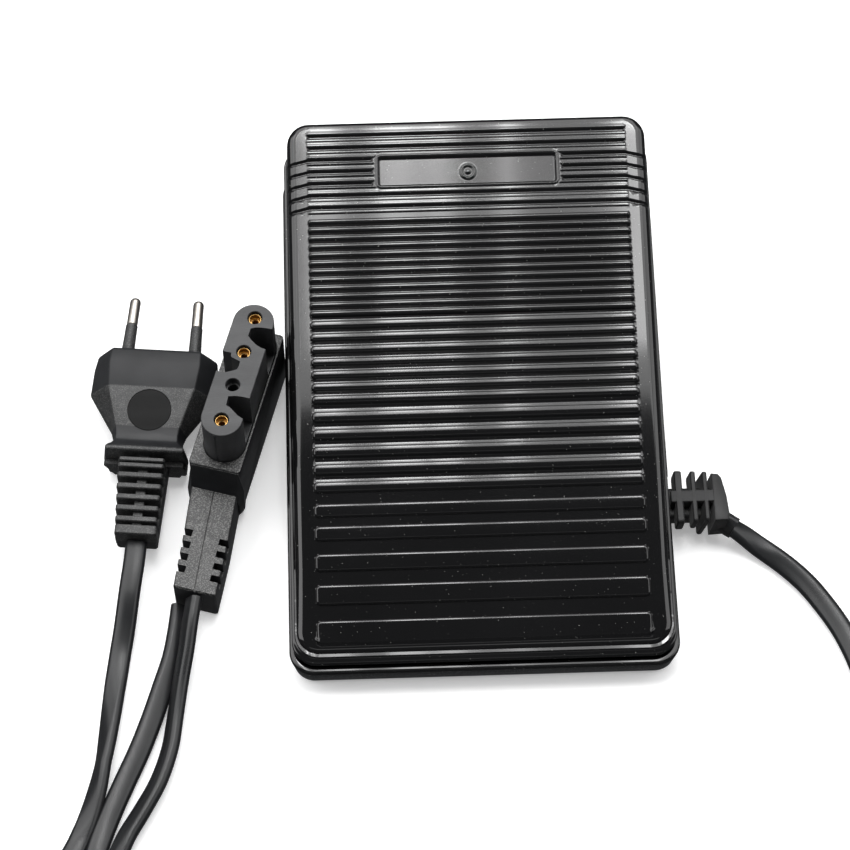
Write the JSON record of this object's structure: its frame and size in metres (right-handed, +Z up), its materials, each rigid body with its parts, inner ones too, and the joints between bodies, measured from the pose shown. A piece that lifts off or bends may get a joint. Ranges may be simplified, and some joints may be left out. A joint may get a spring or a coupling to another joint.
{
  "type": "sewing machine pedal",
  "caption": "Wedge-shaped foot speed control with a ribbed hinged lid, a cord with a flat Euro plug, and a machine connector with a keyed socket tower.",
  "frame": {"origin": "middle of the pedal's footprint, on the floor that its pads stand on", "axes": "+X to the side where the cord leaves the pedal, +Y to the high toe end that is pressed, +Z up"},
  "size_m": [0.2831, 0.2918, 0.0447],
  "materials": {
    "black_abs": "semi-gloss black ABS",
    "black_pvc": "satin dark grey moulded PVC",
    "grained_black": "spark-grained dark grey PVC",
    "dark_rubber": "matt black",
    "cord_grey": "satin dark grey PVC sheath",
    "steel": "bright zinc plate",
    "nickel": "nickel plate",
    "brass": "bright",
    "aluminium": "satin",
    "board_brown": "phenolic board",
    "film_red": "dipped film capacitor",
    "copper_wire": "enamelled copper winding",
    "switch_black": "matt black",
    "white_nylon": "natural nylon",
    "resistor_tan": "lacquered",
    "wire_blue": "satin",
    "wire_brown": "satin",
    "terminal_green": "satin"
  },
  "bodies": {
    "base": {"base_tray": "black_abs", "plug_body": "black_pvc", "connector_tower": "black_pvc", "connector_body": "grained_black", "foot_heel_left": "dark_rubber", "foot_heel_right": "dark_rubber", "foot_toe_left": "dark_rubber", "foot_toe_right": "dark_rubber", "bumper_left": "dark_rubber", "bumper_right": "dark_rubber", "strain_relief": "dark_rubber", "cord_tail": "cord_grey", "mains_cord_plug_run": "cord_grey", "mains_cord_connector_run": "cord_grey", "pedal_cord_connector_run": "cord_grey", "pedal_cord_pedal_run": "cord_grey", "mains_coil": "cord_grey", "pedal_coil": "cord_grey", "hinge_pin_left": "steel", "hinge_pin_right": "steel", "spring_left": "steel", "spring_right": "steel", "board_screw_1": "steel", "board_screw_2": "steel", "board_screw_3": "steel", "board_screw_4": "steel", "cord_clamp": "steel", "clamp_screw_1": "steel", "clamp_screw_2": "steel", "plug_pin_left": "nickel", "plug_pin_right": "nickel", "socket_1": "brass", "socket_2": "brass", "socket_3": "brass", "potentiometer": "aluminium", "heat_sink": "aluminium", "circuit_board": "board_brown", "capacitor": "film_red", "choke": "copper_wire", "microswitch": "switch_black", "triac": "switch_black", "pin_sleeve_left": "switch_black", "pin_sleeve_right": "switch_black", "resistor_1": "resistor_tan", "resistor_2": "resistor_tan", "lead_neutral": "wire_blue", "lead_live": "wire_brown", "terminal_block": "terminal_green"},
    "lid": {"lid": "black_abs", "rack_sector": "white_nylon", "rack_screw": "steel"},
    "pinion_shaft": {"pinion": "white_nylon"},
    "lever": {"switch_lever": "steel"},
    "button": {"switch_button": "white_nylon"}
  },
  "joints": [
    {"name": "lid_press", "type": "hinge", "parent": "base", "child": "lid", "pos_m": [0, -0.061, 0.008], "axis": [-1, 0, 0], "range_deg": [0, 5], "stiffness_Nm_per_rad": 8, "springref_deg": -3.44, "deforming": ["spring_left", "spring_right"]},
    {"name": "pinion_turn", "type": "hinge", "parent": "base", "child": "pinion_shaft", "pos_m": [0.002, 0.00296, 0.0122], "axis": [1, 0, 0], "range_deg": [0, 76]},
    {"name": "lever_swing", "type": "hinge", "parent": "base", "child": "lever", "pos_m": [-0.024, -0.0385, 0.0136], "axis": [-1, 0, 0], "range_deg": [0, 11.6]},
    {"name": "button_press", "type": "slide", "parent": "base", "child": "button", "axis": [0, 0, -1], "range_m": [0, 0.0015]}
  ],
  "couplings": [
    {"joint": "pinion_turn", "follows": "lid_press", "ratio": 15},
    {"joint": "lever_swing", "follows": "lid_press", "ratio": 2.3},
    {"joint": "button_press", "follows": "lid_press", "m_per_rad": 0.016}
  ]
}
